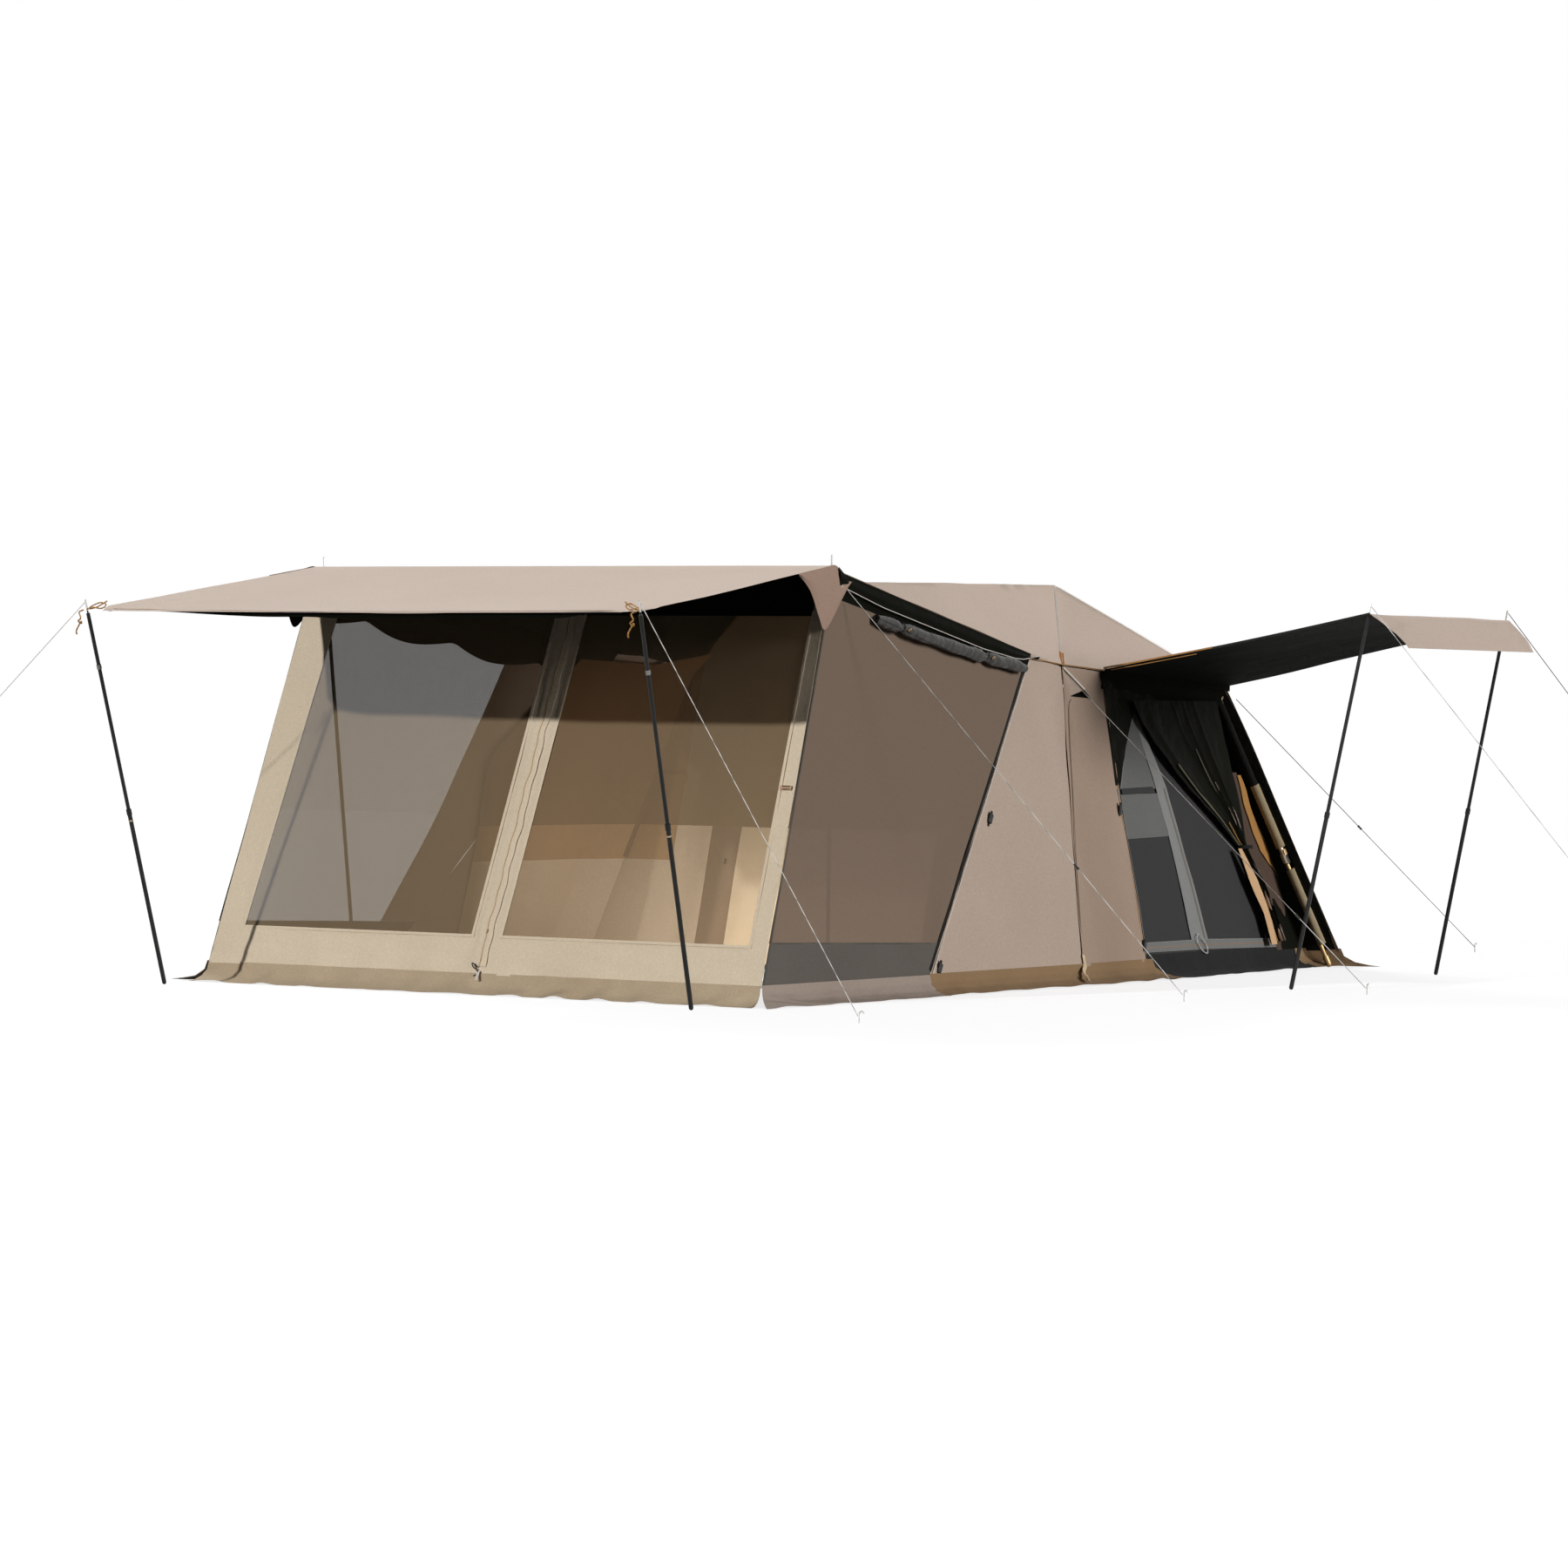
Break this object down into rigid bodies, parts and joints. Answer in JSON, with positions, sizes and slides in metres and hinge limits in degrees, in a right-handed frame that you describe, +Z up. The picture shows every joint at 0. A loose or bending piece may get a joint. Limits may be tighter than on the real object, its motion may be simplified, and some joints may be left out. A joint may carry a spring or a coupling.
{
  "type": "ridge tent",
  "caption": "Ridge tent with a sleeping room on a sprung frame, a screened front hall, and front and side awnings on telescopic poles with guylines.",
  "frame": {"origin": "on the ground under the middle of the ridge, on the groundsheet's underside", "axes": "+Z up, -Y towards the hall's front and its awning, +X towards the side with the door and the side awning"},
  "size_m": [8.0669, 9.7929, 2.1551],
  "materials": {
    "fly": "matt coated cloth, sandy beige",
    "wall": "matt coated cloth, taupe",
    "light_wall": "matt coated cloth, cream",
    "mesh": "fine dark insect mesh",
    "door_mesh": "fine black insect mesh",
    "rolled_cover": "rolled cloth, dark grey",
    "floor": "coated groundsheet",
    "black_steel": "gloss black powder coat",
    "beige_tube": "satin beige",
    "brass_tube": "satin brass",
    "plastic": "moulded",
    "cord": "braided white cord"
  },
  "bodies": {
    "tent": {"divider_wall": "light_wall", "door_curtain": "wall", "door_wall_right": "door_mesh", "front_awning": "fly", "front_awning_pole_left_upper": "black_steel", "front_awning_pole_right_upper": "black_steel", "front_mesh_left": "mesh", "front_mesh_right": "mesh", "front_wall": "light_wall", "groundsheet": "floor", "guyline_front_left": "cord", "guyline_front_right": "cord", "guyline_hall_right": "cord", "guyline_post_right": "cord", "guyline_rear_right": "cord", "guyline_side_far": "cord", "guyline_side_near": "cord", "hall_pole_left": "black_steel", "hall_pole_right": "black_steel", "left_wall": "wall", "leg_upper_front_left": "beige_tube", "leg_upper_front_right": "beige_tube", "leg_upper_rear_left": "beige_tube", "leg_upper_rear_right": "beige_tube", "peg_front_left": "black_steel", "peg_front_right": "black_steel", "peg_hall_right": "black_steel", "peg_post_right": "black_steel", "peg_rear_right": "black_steel", "peg_side_far": "black_steel", "peg_side_near": "black_steel", "rear_wall": "wall", "ridge_hub_left": "plastic", "ridge_hub_right": "plastic", "ridge_pole": "black_steel", "rolled_cover_left": "rolled_cover", "rolled_cover_right": "rolled_cover", "roof": "fly", "roof_rib_front_left": "black_steel", "roof_rib_front_right": "black_steel", "roof_rib_rear_left": "black_steel", "roof_rib_rear_right": "black_steel", "side_awning": "fly", "side_awning_pole_far_upper": "black_steel", "side_awning_pole_near_upper": "black_steel", "side_mesh_left": "mesh", "side_mesh_right": "mesh", "side_panel_right": "wall"},
    "leg_front_right_lower": {"leg_lower_front_right": "brass_tube"},
    "leg_front_left_lower": {"leg_lower_front_left": "brass_tube"},
    "leg_rear_right_lower": {"leg_lower_rear_right": "brass_tube"},
    "leg_rear_left_lower": {"leg_lower_rear_left": "brass_tube"},
    "front_awning_pole_right_bottom": {"front_awning_pole_right_lower": "black_steel"},
    "front_awning_pole_left_bottom": {"front_awning_pole_left_lower": "black_steel"},
    "side_awning_pole_near_bottom": {"side_awning_pole_near_lower": "black_steel"},
    "side_awning_pole_far_bottom": {"side_awning_pole_far_lower": "black_steel"},
    "zip_slider": {"front_zip_slider": "plastic"},
    "tensioner_hall_right_grip": {"tensioner_hall_right": "plastic"},
    "tensioner_post_right_grip": {"tensioner_post_right": "plastic"},
    "tensioner_rear_right_grip": {"tensioner_rear_right": "plastic"}
  },
  "joints": [
    {"name": "leg_front_right_slide", "type": "slide", "parent": "tent", "child": "leg_front_right_lower", "axis": [-0.2441, 0.2735, 0.9304], "range_m": [0, 0.3]},
    {"name": "leg_front_left_slide", "type": "slide", "parent": "tent", "child": "leg_front_left_lower", "axis": [0.2441, 0.2735, 0.9304], "range_m": [0, 0.3]},
    {"name": "leg_rear_right_slide", "type": "slide", "parent": "tent", "child": "leg_rear_right_lower", "axis": [-0.2796, -0.3042, 0.9107], "range_m": [0, 0.3]},
    {"name": "leg_rear_left_slide", "type": "slide", "parent": "tent", "child": "leg_rear_left_lower", "axis": [0.2796, -0.3042, 0.9107], "range_m": [0, 0.3]},
    {"name": "front_awning_pole_right_slide", "type": "slide", "parent": "tent", "child": "front_awning_pole_right_bottom", "axis": [0.0314, -0.2879, 0.9572], "range_m": [0, 0.3]},
    {"name": "front_awning_pole_left_slide", "type": "slide", "parent": "tent", "child": "front_awning_pole_left_bottom", "axis": [-0.0314, -0.2879, 0.9572], "range_m": [0, 0.3]},
    {"name": "side_awning_pole_near_slide", "type": "slide", "parent": "tent", "child": "side_awning_pole_near_bottom", "axis": [0.1587, 0.1024, 0.982], "range_m": [0, 0.3]},
    {"name": "side_awning_pole_far_slide", "type": "slide", "parent": "tent", "child": "side_awning_pole_far_bottom", "axis": [0.2459, -0.1104, 0.963], "range_m": [0, 0.3]},
    {"name": "front_zip_slide", "type": "slide", "parent": "tent", "child": "zip_slider", "axis": [0.0469, 0.341, 0.9389], "range_m": [0, 1.6]},
    {"name": "tensioner_hall_right_slide", "type": "slide", "parent": "tent", "child": "tensioner_hall_right_grip", "axis": [0.481, 0.4464, -0.7545], "range_m": [-0.25, 0.25]},
    {"name": "tensioner_post_right_slide", "type": "slide", "parent": "tent", "child": "tensioner_post_right_grip", "axis": [0.7662, -0.0865, -0.6368], "range_m": [-0.25, 0.25]},
    {"name": "tensioner_rear_right_slide", "type": "slide", "parent": "tent", "child": "tensioner_rear_right_grip", "axis": [0.0261, 0.8931, -0.4491], "range_m": [-0.25, 0.25]}
  ]
}
